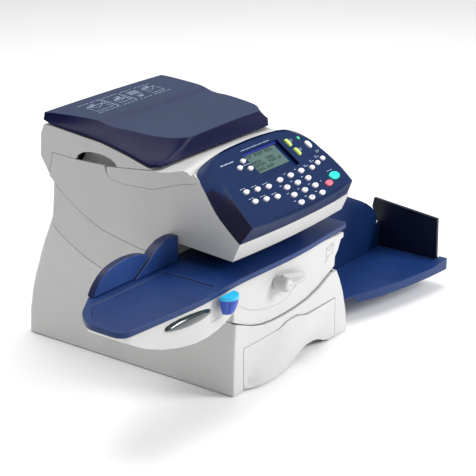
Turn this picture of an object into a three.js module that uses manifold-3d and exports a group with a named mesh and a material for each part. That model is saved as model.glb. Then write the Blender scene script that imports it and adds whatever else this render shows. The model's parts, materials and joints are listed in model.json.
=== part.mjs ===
// Desktop franking machine: casings, weighing platform, control panel, mail deck, drawer and stacker.
// Millimetres, +Z up, +Y to the back, +X to the operator's right. The pieces are laid out from the
// front left corner of the base, and the whole group is then moved so that its origin is the middle
// of the footprint's box, on the ground.
import * as THREE from 'three';
import { mergeVertices } from 'three/addons/utils/BufferGeometryUtils.js';
import Module from 'manifold-3d';

// ---------------------------------------------------------------- driving dimensions
const GAP = 0.4; // between neighbouring pieces
const RUN = 0.5; // between a moving piece and what guides it
const WALL = 3;

const BODY = { left: 8, right: 244, front: 3.5, back: 294 };
const BASE = {
  bottom: 1.4, waist: 97, footLeft: 3, footRight: 257, footBack: 344, shoulder: 166, shoulderBack: 300,
};
const DECK = { top: 157, thick: 7, back: 99.5 };
const HEAD = { chinY: 5, chinZ: 174, backY: 91, backZ: 180, lipY: -6, lipZ: 198, bulge: 5.5 };
const PANEL = { y: -19, z: 219, tilt: 34.7, skin: 3 };
const KEY = { foot: -7.4, shoulder: 1.2, top: 2.5, clearance: 0.45 };
const BOARD = { top: -9, thick: 1.6 };
const ROLLER = {
  z: 177, y0: 19, y1: 90, shaft: 4, tyre: 17, tyreY0: 34, tyreY1: 74, feedX: 60, exitX: 190,
};
const LEVER = { x: 97, z: 120, hub: 9, shaft: 5.5, reach: 40 };
const TRAY = { left: 257.5, right: 478, bottom: 26, floor: 38, bed: 36.8, fenceY: 80, endX: 470 };
const FOOT = { left: 30, right: 228, front: 46, back: 312, radius: 9 };
const CENTRE = { x: 138.16, y: 157.75 };

// ---------------------------------------------------------------- colours and finishes
const COLOUR = {
  casing: 0xd2d3d4, casingLow: 0xd9dadb, navy: 0x23304f, panel: 0x1a3158, deck: 0x27467c, guide: 0x3d5e95,
  key: 0xe4e1e8, start: 0x0fd2bf, stop: 0xf56a7c, pill: 0xc2da6b, led: 0x2fd080, glass: 0x44605d,
  knob: 0x0f9fe0, dark: 0x1c1d20, rubber: 0x2a2a2b, board: 0x1f5a3a, metal: 0xa9adb2, stacker: 0x17294a,
};
const finish = (colour, roughness = 0.5, metalness = 0) =>
  new THREE.MeshStandardMaterial({ color: colour, roughness, metalness });

// ---------------------------------------------------------------- solids
const wasm = await Module();
wasm.setup();

function solid(geometry) {
  const plain = geometry.clone();
  plain.deleteAttribute('normal');
  plain.deleteAttribute('uv');
  const welded = mergeVertices(plain, 1e-4);
  return new wasm.Manifold(new wasm.Mesh({
    numProp: 3,
    vertProperties: new Float32Array(welded.attributes.position.array),
    triVerts: new Uint32Array(welded.index.array),
  }));
}

function toGeometry(body) {
  const mesh = body.getMesh();
  const geometry = new THREE.BufferGeometry();
  geometry.setAttribute('position', new THREE.BufferAttribute(new Float32Array(mesh.vertProperties), 3));
  geometry.setIndex(new THREE.BufferAttribute(new Uint32Array(mesh.triVerts), 1));
  geometry.computeVertexNormals();
  return geometry;
}

const V = (x, y, z) => new THREE.Vector3(x, y, z);
const AXES = {
  x: new THREE.Matrix4().makeBasis(V(0, 1, 0), V(0, 0, 1), V(1, 0, 0)),
  y: new THREE.Matrix4().makeBasis(V(1, 0, 0), V(0, 0, 1), V(0, -1, 0)),
  z: new THREE.Matrix4(),
};

// A shape from corner points [u, v] or [u, v, radius]; a radius rounds that corner.
function outline(points) {
  const shape = new THREE.Shape();
  points.forEach(([u, v, radius = 0], i) => {
    const corner = new THREE.Vector2(u, v);
    const before = new THREE.Vector2(...points.at(i - 1).slice(0, 2));
    const after = new THREE.Vector2(...points[(i + 1) % points.length].slice(0, 2));
    const start = before.sub(corner).setLength(radius).add(corner);
    const end = after.sub(corner).setLength(radius).add(corner);
    if (i === 0) shape.moveTo(start.x, start.y);
    else shape.lineTo(start.x, start.y);
    if (radius > 0) shape.quadraticCurveTo(corner.x, corner.y, end.x, end.y);
  });
  shape.closePath();
  return shape;
}

// A prism along one axis, from the lower to the higher coordinate on it.
function prism(axis, points, from, to, curveSegments = 3) {
  const shape = Array.isArray(points) ? outline(points) : points;
  const options = { depth: to - from, bevelEnabled: false, curveSegments };
  const geometry = new THREE.ExtrudeGeometry(shape, options);
  geometry.applyMatrix4(AXES[axis]);
  if (axis === 'x') geometry.translate(from, 0, 0);
  if (axis === 'y') geometry.translate(0, to, 0);
  if (axis === 'z') geometry.translate(0, 0, from);
  return solid(geometry);
}

const box = (x0, x1, y0, y1, z0, z1) => prism('z', [[x0, y0], [x1, y0], [x1, y1], [x0, y1]], z0, z1);

function cylinder(axis, centre, radius, from, to, segments = 20) {
  const shape = new THREE.Shape();
  for (let i = 0; i < segments; i += 1) {
    const turn = ((i + 0.5) / segments) * 2 * Math.PI;
    const point = [centre[0] + radius * Math.cos(turn), centre[1] + radius * Math.sin(turn)];
    if (i === 0) shape.moveTo(...point);
    else shape.lineTo(...point);
  }
  return prism(axis, shape, from, to);
}

// A closed skin through rings of equally many points, each end closed by a fan.
function loft(rings) {
  const count = rings[0].length;
  const points = rings.flat();
  const faces = [];
  for (let r = 0; r < rings.length - 1; r += 1) {
    for (let i = 0; i < count; i += 1) {
      const j = (i + 1) % count;
      const [a, b, c, d] = [r * count + i, r * count + j, (r + 1) * count + j, (r + 1) * count + i];
      faces.push(a, b, c, a, c, d);
    }
  }
  const fan = (ring, first, flip) => {
    const centre = ring.reduce((sum, p) => sum.add(p), V(0, 0, 0)).divideScalar(count);
    const hub = points.push(centre) - 1;
    for (let i = 0; i < count; i += 1) {
      const [a, b] = [first + i, first + ((i + 1) % count)];
      faces.push(hub, flip ? b : a, flip ? a : b);
    }
  };
  fan(rings[0], 0, true);
  fan(rings.at(-1), (rings.length - 1) * count, false);
  const geometry = new THREE.BufferGeometry();
  const values = points.flatMap((p) => p.toArray());
  geometry.setAttribute('position', new THREE.Float32BufferAttribute(values, 3));
  geometry.setIndex(faces);
  return solid(geometry);
}

const smooth = (points, count) =>
  new THREE.SplineCurve(points.map((p) => new THREE.Vector2(...p))).getPoints(count).map((p) => [p.x, p.y]);
const shift = (points, du, dv) => points.map(([u, v, ...rest]) => [u + du, v + dv, ...rest]);
const mix = (a, b, t) => a + (b - a) * t;
// The value at u of a line through corner points [u, value].
function along(points, u) {
  const i = Math.max(1, points.findIndex(([p]) => p >= u));
  const [[u0, v0], [u1, v1]] = [points[i - 1], points[i]];
  return mix(v0, v1, Math.min(1, Math.max(0, (u - u0) / (u1 - u0))));
}

const root = new THREE.Group();
function add(name, body, colour, roughness, metalness) {
  const mesh = new THREE.Mesh(toGeometry(body), finish(colour, roughness, metalness));
  mesh.name = name;
  root.add(mesh);
}

// ---------------------------------------------------------------- shared lines of the casing
// Shut line between the base and the band above it, seen from the side as [y, z].
const SEAM_LOW = smooth([[-12, 93.5], [21, 96.5], [110, 104], [208, 117], [269, 143], [306, 171],
  [330, 190]], 14);
// Shut line between the band and the upper casing.
const SEAM_HIGH = smooth([[120, 157], [144, 159], [171, 163], [211, 172], [252, 192], [296, 224.5]], 10);
// Shut line between the upper casing and the lid, from the panel back to the rounded tail.
const SEAM_LID = [[62, 271.5], [81, 255], [125, 240], [169, 238], [190, 239.5], [198, 247]];
// Arched shut line across the front, seen from the front as [x, z].
const SEAM_FRONT = smooth([[-4, 97], [10, 94], [58, 76.5], [110, 72.5], [171, 78], [226, 99], [240, 107]],
  14);

const flare = (z, full) => Math.min(1, z / full) ** 2;
const rightOf = (z) => (z < BASE.waist
  ? mix(BASE.footRight, 229, flare(z, BASE.waist))
  : mix(229, 246, Math.sin(Math.min(1, (z - BASE.waist) / 52) * Math.PI / 2)));
const backOf = (z) => (z < BASE.shoulder
  ? mix(BASE.footBack, BASE.shoulderBack, flare(z, BASE.shoulder))
  : mix(BASE.shoulderBack, BODY.back, (z - BASE.shoulder) / 59));
const leftOf = (z) => mix(BASE.footLeft, BODY.left, flare(z, BASE.waist));

function roundedRing(x0, x1, y0, y1, z, front, back) {
  const corners = [[x1 - front, y0 + front, -90, front], [x1 - back, y1 - back, 0, back],
    [x0 + back, y1 - back, 90, back], [x0 + front, y0 + front, 180, front]];
  const steps = 3;
  return corners.flatMap(([cx, cy, start, radius]) => Array.from({ length: steps + 1 }, (_, i) => {
    const turn = THREE.MathUtils.degToRad(start + (90 * i) / steps);
    return V(cx + radius * Math.cos(turn), cy + radius * Math.sin(turn), z);
  }));
}

// The flared block that the base and the band share, shrunk by inset on its sides.
function bodyBlock(front, inset = 0, from = BASE.bottom, to = 230) {
  const heights = [from, 30, 60, 80, 97, 112, 130, 150, 170, 200, to];
  return loft(heights.map((z) => roundedRing(
    leftOf(z) + inset, rightOf(z) - inset, front + inset, backOf(z) - inset, z, 3, 14 - inset)));
}

const FAR = 400;
const aboveLow = (gap) => prism('x', [...shift(SEAM_LOW, 0, gap), [330, FAR], [-12, FAR]], -FAR, FAR);
const aboveFrontArch = (gap, back) =>
  prism('y', [...shift(SEAM_FRONT, 0, gap), [240, FAR], [-4, FAR]], -30, back);

// ---------------------------------------------------------------- control panel frame
const tilt = THREE.MathUtils.degToRad(PANEL.tilt);
const UP_SLOPE = V(0, Math.cos(tilt), Math.sin(tilt));
const OUTWARD = V(0, -Math.sin(tilt), Math.cos(tilt));
const panelMatrix = new THREE.Matrix4()
  .makeBasis(V(1, 0, 0), UP_SLOPE, OUTWARD)
  .setPosition(0, PANEL.y, PANEL.z);
const onPanel = (x, s, n) => V(x, s, n).applyMatrix4(panelMatrix);
const place = (body) => body.transform([...panelMatrix.elements]);
const panelPrism = (points, from, to, segments) => place(prism('z', points, from, to, segments));

// Face outline in panel coordinates, and the matching points where the bezel meets the casing.
const FACE = [[15, 0], [50, -4], [90, -6.5], [130, -7], [170, -6], [205, -3], [234, 2], [237, 25],
  [236, 50],
  [231, 70], [222, 87], [207, 101], [190, 107], [150, 110], [110, 110], [75, 108], [62, 102], [53, 94],
  [43, 84], [36, 76], [24, 39]];
const SKIRT = [[8, -6, 198], [50, -9, 198], [90, -11, 198], [130, -11.5, 198], [170, -11, 198],
  [205, -9, 198],
  [241, -5, 198], [243, 12, 213], [243, 30, 230], [243, 43, 249], [240, 53, 258], [227, 64, 267.5],
  [205, 71, 276.5], [150, 74, 280.5], [110, 74, 280.5], [70, 72, 279.5], [45, 69, 277.5], [20, 64, 273.5],
  [9.5, 57, 268], [8, 47, 256], [8, 24, 224]];
const FACE_MIDDLE = [128, 52];
const shrinkFace = (margin) => FACE.map(([x, s]) => [
  FACE_MIDDLE[0] + (x - FACE_MIDDLE[0]) * (1 - margin / 110),
  FACE_MIDDLE[1] + (s - FACE_MIDDLE[1]) * (1 - margin / 56)]);

// The bezel's outer body. Grown, it is the room that its neighbours leave for it.
function bezelBody(grow) {
  const spread = (x) => x + Math.sign(x - FACE_MIDDLE[0]) * grow;
  const dropFront = V(0, -2, -3).multiplyScalar(grow);
  const dropBack = V(0, 0.6, -2).multiplyScalar(grow);
  const slide = (s) => s + Math.sign(s - FACE_MIDDLE[1]) * grow;
  const lower = SKIRT.map(([x, y, z]) => V(spread(x), y, z).add(y < 0 ? dropFront : dropBack));
  const upper = FACE.map(([x, s]) => onPanel(spread(x), slide(s), grow * 8));
  return loft([lower, upper]);
}

// A body with the room for the bezel cut out of it.
const clearOfBezel = (body) => body
  .subtract(bezelBody(0))
  .subtract(bezelBody(GAP))
  .subtract(bezelBody(0).translate([0, GAP, 0]))
  .subtract(bezelBody(0).translate([0, 0, -GAP]));

// ---------------------------------------------------------------- keys
// Each key: name, place on the panel, half width along x, half height along the slope, colour.
const SMALL = [5, 3.2];
const keys = [];
['left', 'middle', 'right'].forEach((column, i) => {
  keys.push([`key_function_upper_${column}`, 54 + 20 * i, 46 - 2.5 * i, ...SMALL, COLOUR.key]);
  keys.push([`key_function_lower_${column}`, 54 + 19.5 * i, 30 - 3 * i, ...SMALL, COLOUR.key]);
});
[[92, 86], [78, 79], [93, 73]].forEach(([x, s], i) => {
  keys.push([`key_select_${i + 1}`, x, s, 4.4, 3.2, COLOUR.key]);
});
[43, 30, 17, 4].forEach((s, row) => {
  [120, 143, 166].forEach((x, column) => {
    keys.push([`key_pad_${row + 1}_${column + 1}`, x, s, 5.4, 3.4, COLOUR.key]);
  });
});
[[188, 41], [204, 44], [219, 47]].forEach(([x, s], i) => {
  keys.push([`key_edit_${i + 1}`, x, s, 4.4, 3.2, COLOUR.key]);
});
[[188, 86], [189.5, 69.5]].forEach(([x, s], i) => {
  keys.push([`key_quick_${i + 1}`, x, s, 3, 6, COLOUR.pill]);
});
keys.push(['key_menu', 218, 73, 4, 6, COLOUR.key]);
keys.push(['key_start', 211, 18.5, 10, 6, COLOUR.start]);
keys.push(['key_stop', 191, 12, 7, 4.2, COLOUR.stop]);

const KEY_SIDES = 12;
const ellipse = (x, s, a, b) => Array.from({ length: KEY_SIDES }, (_, i) => {
  const turn = (i / KEY_SIDES) * 2 * Math.PI;
  return [x + a * Math.cos(turn), s + b * Math.sin(turn)];
});

function keyCap(x, s, a, b) {
  const ring = (scale, n) => ellipse(x, s, a * scale, b * scale).map(([u, v]) => V(u, v, n));
  return place(loft([ring(1, KEY.foot), ring(1, KEY.shoulder), ring(0.72, KEY.top)]));
}

// ---------------------------------------------------------------- lower casings
const DRAWER = { left: 24, right: 226, back: 150, trayLeft: 30, trayRight: 220, low: 14, high: 54 };
const drawerTop = (x) => 57 + 6 * Math.exp(-(((x - 127) / 22) ** 4));
const drawerBottom = (x) => 3 + 11 * Math.exp(-(((x - 162) / 36) ** 4));
// How far the swept form on the drawer's front stands out at (x, z).
function drawerSwell(x, z) {
  const rise = Math.min(1, Math.max(0, z / 58));
  const left = mix(28, 96, rise ** 1.5);
  const right = mix(122, 232, rise ** 0.8);
  const across = (x - left) / (right - left);
  if (across <= 0 || across >= 1) return 0;
  return 8 * (1 - 0.75 * rise ** 2) * Math.sin(Math.PI * across ** 0.7) ** 0.8;
}

function drawerOutline(grow) {
  const columns = Array.from({ length: 17 }, (_, i) =>
    mix(DRAWER.left - grow, DRAWER.right + grow, i / 16));
  return [...columns.map((x) => [x, drawerBottom(x) - grow]),
    ...columns.toReversed().map((x) => [x, drawerTop(x) + grow])];
}

function supplyDrawer() {
  const [columns, rows] = [24, 8];
  const ringAt = (i) => {
    const x = mix(DRAWER.left, DRAWER.right, i / columns);
    const front = Array.from({ length: rows + 1 }, (_, j) => {
      const z = mix(drawerTop(x), drawerBottom(x), j / rows);
      return V(x, -0.2 - drawerSwell(x, z), z);
    });
    return [V(x, 4, drawerBottom(x)), V(x, 4, drawerTop(x)), ...front];
  };
  const face = loft(Array.from({ length: columns + 1 }, (_, i) => ringAt(i)));
  const { trayLeft, trayRight, low, high, back } = DRAWER;
  const tray = box(trayLeft, trayRight, 3, back, low, high)
    .subtract(box(trayLeft + WALL, trayRight - WALL, 6, back - WALL, low + WALL, high + 9));
  return face.add(tray);
}

function baseShell() {
  const cavity = bodyBlock(0, 4, BASE.bottom - 5, 235);
  return bodyBlock(0)
    .subtract(cavity)
    .subtract(aboveLow(-GAP))
    .subtract(aboveFrontArch(-GAP, 8))
    .subtract(prism('y', drawerOutline(0.8), -20, 9))
    .subtract(box(112, 212, -20, 9, BASE.bottom - 5, 14.6));
}

function frontCover() {
  const slab = [...SEAM_FRONT.map(([x, z]) => [x, z + GAP]).filter(([x]) => x > 11 && x < 226),
    [228, 101], [229, 113], [236, 121], [242, 133], [248, 143], [248.5, 149.4], [8.8, 149.4], [8.8, 96]];
  const arcIn = smooth([[12, 122], [25, 110.5], [45, 101], [73, 93.5], [107, 90.5], [127, 96], [150, 110]],
    10);
  const groove = [...arcIn, ...shift(arcIn, 0, -1.4).toReversed()];
  return prism('y', slab, BODY.front, BODY.front + 4)
    .subtract(prism('y', groove, 0, BODY.front + 0.9))
    .subtract(cylinder('y', [LEVER.x, LEVER.z], LEVER.shaft + RUN, -5, 12, 16));
}

function midHousing() {
  const front = BODY.front + 4 + GAP;
  const roof = [[front - 1, 149.4], [DECK.back + GAP, 149.4], [DECK.back + GAP, DECK.top - GAP],
    [120, DECK.top - GAP], ...shift(SEAM_HIGH.slice(1), 0, -GAP), [330, 226], [330, FAR], [front - 1, FAR]];
  const base = bodyBlock(0).subtract(aboveLow(0.4));
  const archRoom = prism('y', [...shift(SEAM_FRONT, 0, -4), [240, -10], [-4, -10]], 0, 30);
  return bodyBlock(front)
    .subtract(bodyBlock(front - WALL - 4, WALL + 1, 40, 235))
    .intersect(aboveLow(0.4))
    .subtract(base)
    .subtract(archRoom)
    .subtract(prism('x', roof, -FAR, FAR))
    .subtract(box(20, 225, -5, 20, 0, 146));
}

// ---------------------------------------------------------------- upper casings
const bulgeAt = (x) => HEAD.bulge * (1 - ((x - 126) / 118) ** 2);
const stations = (x0, x1, count = 6) => Array.from({ length: count + 1 }, (_, i) => mix(x0, x1, i / count));
// A casing along x whose profile points [y, z, share] stand out by a share of the front's bulge.
const bowed = (profile, x0, x1) => loft(stations(x0, x1).map((x) =>
  profile.map(([y, z, share = 0]) => V(x, y - share * bulgeAt(x), z))));

function upperHousing() {
  const lidLine = shift(SEAM_LID, 0, -GAP / 2);
  const rim = [[201, 256], [248, 255], [286.5, 257]];
  const high = shift(SEAM_HIGH, 0, GAP);
  const outer = [[DECK.back + 1, DECK.top + GAP], ...high.slice(0, -1), [294, 225], [294, 228],
    ...rim.toReversed(), [198.6, 247], ...lidLine.toReversed().slice(1), [54, 265.2], [44, 250.2],
    [30, 229.2], [12, 212.2],
    [HEAD.lipY + 1, HEAD.lipZ - GAP], [HEAD.chinY, HEAD.chinZ], [HEAD.backY, HEAD.backZ],
    [DECK.back + 1, 180.4]];
  const shell = prism('x', outer, BODY.left, BODY.right);
  const chin = bowed([[30, HEAD.lipZ - GAP], [HEAD.lipY, HEAD.lipZ - GAP, 1], [HEAD.chinY, HEAD.chinZ, 1],
    [30, 175.8]], BODY.left, BODY.right);
  const room = [[104, 184.5], [104, 161.5], ...shift(high.slice(1, -2), -1, 4), [290, 228], [283, 262],
    [283, 300], [0, 300], [-1.5, 199], [7.5, 178]];
  const window = (x) => box(x - 19, x + 19, 31, 78, 160, 200);
  const hangers = (x) => box(x - 9, x + 9, ROLLER.y0, ROLLER.y0 + 5, 170, 192)
    .add(box(x - 9, x + 9, ROLLER.y1 - 5, ROLLER.y1, 170, 192))
    .subtract(cylinder('y', [x, ROLLER.z], ROLLER.shaft + RUN, 0, 100, 12));
  const journals = (x) =>
    cylinder('y', [x, ROLLER.z], ROLLER.shaft + RUN, ROLLER.y0 - 3, ROLLER.y1 + 3, 12);
  let body = shell.add(chin).subtract(prism('x', room, BODY.left + WALL, BODY.right - WALL));
  for (const x of [ROLLER.feedX, ROLLER.exitX]) {
    body = body.subtract(window(x)).add(hangers(x)).subtract(journals(x));
  }
  return clearOfBezel(body)
    .subtract(box(105, 135, 45, 75, 165, 186))
    .subtract(prism('x', [[30, 231], [43, 248.4], [53, 257.4], [60, 260], [80, 260], [80, 300], [30, 300]],
      234, 250))
    .subtract(lidBlock())
    .subtract(lidBlock(GAP))
    .subtract(panelPrism(shrinkFace(6), BOARD.top - BOARD.thick - 1, 5));
}

// Height of the lid's top at (x, y). It rolls off at the right end of the crest.
const LID_TOP = [[58, 269.5], [66, 276], [72, 280], [78, 280.6], [88, 277.5], [100, 272.4], [113, 267.2],
  [126, 263.6],
  [193, 255.6], [197.2, 255.2]];
const lidTop = (x, y) => {
  const roll = along([[8, 8], [24, 5.5], [45, 2.5], [80, 0], [190, 0], [206, 4], [222, 8.5], [243, 13.5],
    [250, 14]], x);
  return along(LID_TOP, y) - roll * along([[40, 1], [92, 1], [126, 0], [200, 0]], y);
};

// The lid's outer block, lowered by drop.
function lidBlock(drop = 0) {
  const xs = [BODY.left, 24, 45, 80, 130, 180, 192, 206, 222, 234, BODY.right];
  const bottom = shift(SEAM_LID, 0, GAP / 2).slice(0, -1);
  const top = [[197.2, 247.2], [197.2, 255.2], [193, 255.6], [160, 259.5], [126, 263.6], [113, 267.2],
    [100, 272.4], [88, 277.5], [78, 280.6], [72, 280], [66, 276], [58, 269.5]];
  const ringAt = (x) => [
    ...bottom.map(([y, z]) => V(x, y, Math.min(z, lidTop(x, y) - 2 * WALL) - drop)),
    ...top.map(([y, z]) => V(x, y, Math.min(z, lidTop(x, y)) - drop))];
  return loft(xs.map(ringAt));
}

function lidCover() {
  const innerXs = [BODY.left + WALL + 1, 45, 80, 180, 206, 222, BODY.right - WALL - 1];
  const room = loft(innerXs.map((x) => [[30, 200], [250, 200], [250, 249], [190, 252.4], [126, 260.4],
    [100, 269.2],
    [77, 277.4], [30, 278]].map(([y, z]) => V(x, y, Math.min(z, lidTop(x, y) - WALL)))));
  const lap = SKIRT.map(([x, y]) => [FACE_MIDDLE[0] + (x - FACE_MIDDLE[0]) * 0.96, y - 4]);
  return clearOfBezel(lidBlock().subtract(room)).subtract(prism('z', lap, 200, 300));
}

// Lower edge of the weighing platform, seen from the side.
const PLATFORM_LOW = [[113, 268.5], [131, 268], [164, 277], [205, 286], [246, 290], [286, 294], [300, 298]];
const PLATFORM_HIGH = [[113, 270], [115, 277], [117, 285], [119, 289.4], [124, 290.6], [135, 291.4],
  [150, 293],
  [170, 295.6], [190, 297.2], [202, 297.3], [214, 299], [228, 302.8], [240, 304.2], [285, 307.4],
  [300, 307]];
const LEAN_LEFT = [[113, 60], [119, 88], [121, 80], [125, 69], [136, 56], [157, 44], [184, 38], [218, 34],
  [238, 29], [300, 10.5]];
const LEAN_RIGHT = [[113, 206], [119, 214], [124, 226], [132, 234], [142, 239], [170, 241], [300, 242]];

function scaleHousing() {
  const top = shift(PLATFORM_LOW.slice(1, -1), 0, -2.2);
  const outer = [[126, 264.3], [193, 256.3], [248, 255.6], [287.2, 257.6], [294.7, 228.8], [308, 250],
    [305.5, 280], [300, 292], ...top.toReversed(), [128, 266]];
  const roof = shift(top, 0, -3);
  const room = [[150, 240], [284, 240], [284, 261], [291, 250], [296, 243], [303.5, 252], [301.5, 279],
    [297, 287.5],
    ...roof.toReversed().slice(0, -1), [150, 266]];
  const scoop = Array.from({ length: 9 }, (_, i) => {
    const turn = (Math.PI * i) / 8;
    return [214 + 34 * Math.cos(turn), 256 + 14 * Math.sin(turn)];
  });
  const block = prism('x', outer, BODY.left, BODY.right);
  const scoopBack = box(26, 29, 176, 252, 262, 290).intersect(block);
  return block
    .subtract(prism('x', room, BODY.left + WALL + 1, BODY.right - WALL - 1))
    .subtract(prism('x', [...scoop, [180, 250], [248, 250]], -5, 26))
    .add(scoopBack)
    .subtract(box(96, 156, 196, 236, 240, 300));
}

function scalePlatform() {
  const section = (y) => {
    const [low, high] = [along(PLATFORM_LOW, y), along(PLATFORM_HIGH, y)];
    const [xl, xr] = [along(LEAN_LEFT, y), along(LEAN_RIGHT, y)];
    const [left, right] = [BODY.left + along([[113, 6], [122, 0.5], [300, 0]], y), BODY.right];
    const rise = high - low;
    const points = [[left, low], [left + 0.4, low + Math.min(4, rise * 0.3)],
      [mix(left, xl, 0.38), mix(low, high, 0.42)],
      [mix(left, xl, 0.75), mix(low, high, 0.78)], [xl + 1, high - 0.8], [xl + 8, high],
      [126, high + 1.4], [xr - 8, high + 0.6], [xr - 1, high - 0.4],
      [right - 0.4, low + Math.min(4, rise * 0.3)], [right, low]];
    return points.map(([x, z]) => V(x, y, z));
  };
  const ys = [113, 115, 117, 119, 121, 125, 136, 150, 157, 170, 190, 202, 214, 228, 240, 270, 300];
  const outer = loft(ys.map(section));
  const room = prism('x', [[134, 255], [134, 280], [150, 288.5], [202, 292], [228, 297.5], [294, 300.5],
    [294, 255]], BODY.left + 44, BODY.right - 14);
  return outer.subtract(room);
}

// ---------------------------------------------------------------- control panel pieces
const DISPLAY = { x0: 101, x1: 176, s0: 53, s1: 97 };

function panelBezel() {
  let body = bezelBody(0).subtract(panelPrism(shrinkFace(5), -60, -PANEL.skin));
  for (const [, x, s, a, b] of keys) {
    body = body.subtract(panelPrism(ellipse(x, s, a + KEY.clearance, b + KEY.clearance), -5, 5));
  }
  const { x0, x1, s0, s1 } = DISPLAY;
  return body
    .subtract(panelPrism([[x0, s0], [x1, s0], [x1, s1], [x0, s1]], -10, 5))
    .subtract(panelPrism(ellipse(212, 87, 2.4 + GAP, 2.4 + GAP), KEY.foot - 2, 5));
}

function displayModule() {
  const { x0, x1, s0, s1 } = DISPLAY;
  const frame = panelPrism([[x0 + GAP, s0 + GAP], [x1 - GAP, s0 + GAP], [x1 - GAP, s1 - GAP],
    [x0 + GAP, s1 - GAP]],
    BOARD.top + GAP, -4.4);
  return frame.subtract(panelPrism([[103, 63], [169, 63], [169, 94], [103, 94]], -6.5, 0));
}

// ---------------------------------------------------------------- mail deck
const deckPlan = (inset) => [[246 - inset, -3 + inset, 5], [246 - inset, DECK.back],
  [-140, DECK.back, 8], [-184 + inset, 72 - inset, 12], [-201 + inset, 48, 10],
  [-202 + inset, -3 + inset, 16],
  [-140, -8 + inset, 12], [-78, -13 + inset, 20], [8, -9 + inset, 20], [125, -13.5 + inset, 50]];

function feedDeck() {
  const plate = prism('z', deckPlan(0), DECK.top - DECK.thick, DECK.top, 4);
  const dish = prism('z', [[-30, 3], [-30, 78], [-160, 78], [-188, 52, 8], [-190, 12, 8], [-170, 2, 8],
    [-80, -4, 20]],
    DECK.top - 2, DECK.top + 5);
  const slot = box(43, 77, 33, 75, 140, 170);
  return plate.subtract(dish).subtract(slot);
}

const LENS = { x: -91, z: 137, a: 41, b: 6.8 };
function lensOutline(grow) {
  return Array.from({ length: 16 }, (_, i) => {
    const turn = (i / 16) * 2 * Math.PI;
    const reach = (LENS.a + grow) * Math.cos(turn);
    return [LENS.x + reach, LENS.z - 0.04 * reach + (LENS.b + grow) * Math.sin(turn)];
  });
}

function deckFascia() {
  const top = DECK.top - DECK.thick - GAP;
  const face = [[7.5, top], [-194, top], ...smooth([[-190, 143], [-169, 129], [-126, 113], [-81, 105],
    [-43, 105.5],
    [-17, 111], [7.5, 121]], 10)];
  const keel = [[-20, 120], ...smooth([[-6, 100], [20, 103], [60, 118], [95, 140]], 6), [100, top],
    [-20, top]];
  const grow = (inset) => prism('z', deckPlan(inset), 80, top + 1, 4);
  const hull = prism('y', face.toReversed(), -20, 100)
    .intersect(prism('x', keel, -210, 7.4))
    .intersect(grow(4));
  const inside = shift(face, 0, 3.5).map(([x, z]) => [Math.min(4.4, x), z]);
  const room = prism('y', inside.toReversed(), 3, 90)
    .intersect(prism('x', shift(keel, 0, 4), -210, 4))
    .intersect(grow(8))
    .subtract(box(-30, 10, -20, 14, 80, 160));
  return hull.subtract(room)
    .subtract(prism('y', lensOutline(GAP), -20, 8))
    .subtract(box(-51, -4, -20, -6.6, 120, 160));
}

function deckGuide() {
  const low = DECK.top + GAP;
  const hump = [[-8, low], [-8, 178], [-42, 178],
    ...smooth([[-46, 180.5], [-60, 185], [-84, 187.6], [-110, 184.5],
    [-126, 177], [-138, 166], [-143, low]], 12)];
  const wedge = [[7.4, low], [7.4, 190], [-4, 191.2], [-20, 190], [-34, 184], [-46, 175], [-74, low]];
  return prism('y', hump.toReversed(), 90, DECK.back).add(prism('y', wedge.toReversed(), 86, DECK.back));
}

const KNOB = { x: -28, y: -13.5, top: 150 };
function sealerKnob() {
  const sides = 12;
  const ring = (radius, depth, z) => Array.from({ length: sides }, (_, i) => {
    const turn = Math.PI + (Math.PI * i) / (sides - 1);
    return V(KNOB.x + radius * Math.cos(turn), KNOB.y + depth * Math.sin(turn), z);
  });
  const { x, y, top } = KNOB;
  const grip = loft([ring(8, 8, top - 23), ring(11, 11, top - 16), ring(14, 14.9, top - 4),
    ring(13.5, 14.4, top)]);
  return grip
    .add(box(x - 14, x + 12, y - 0.4, y + 0.6, top - 13, top - 4))
    .add(box(x - 6, x + 6, y - 0.4, y + 6, top - 20, top - 13));
}

// ---------------------------------------------------------------- jam lever, platen and rollers
function jamLever() {
  const { x, z, hub, shaft, reach } = LEVER;
  const face = BODY.front - RUN;
  const tongue = [[x - 2, z + 12, 5], [x + 20, z + 14, 8], [x + reach, z + 4, 7], [x + reach - 6, z - 9, 5],
    [x + 12, z - 12, 6], [x - 2, z - 8, 4]];
  return cylinder('y', [x, z], hub, -16, face, 16)
    .add(cylinder('y', [x, z], shaft, -10, 26, 12))
    .add(prism('y', tongue, -8, face))
    .add(prism('y', [[x, z + 4], [x + reach - 8, z + 3, 2], [x + reach - 8, z - 3, 2], [x, z - 4]], -19,
    -6));
}

function roller(x) {
  return cylinder('y', [x, ROLLER.z], ROLLER.shaft, ROLLER.y0 - 2, ROLLER.y1 + 2, 12)
    .add(cylinder('y', [x, ROLLER.z], ROLLER.tyre, ROLLER.tyreY0, ROLLER.tyreY1, 20));
}

// ---------------------------------------------------------------- stacker
function stackerTray() {
  const { left, right, bottom, floor } = TRAY;
  const endXInside = TRAY.endX - 2;
  const plan = [[left, 22], [left, 96], [right, 96, 6], [right, -28, 5],
    ...smooth([[right - 8, -28.5], [430, -25],
    [380, -17], [330, -6], [290, 8], [left + 6, 21]], 10)];
  const plate = prism('z', plan.toReversed(), bottom, floor, 4);
  const belly = prism('x', [[8, bottom - 5], [86, bottom - 5], [86, floor - 4], [8, floor - 4]], left + 8,
    right - 8);
  const bed = [[left + 8, 16], [left + 8, 78], [endXInside, 78], [endXInside, -20], [430, -18], [380, -10],
    [330, 1]];
  const shell = plate.subtract(belly).subtract(prism('z', bed.toReversed(), TRAY.bed, floor + 1));
  const lip = prism('y', [[right - 48, floor - 1], [right, floor - 1], [right, floor + 3],
    [right - 14, floor + 3]],
    -30, -14).intersect(prism('z', plan.toReversed(), bottom, floor + 10, 4));
  return shell.add(lip);
}

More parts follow.
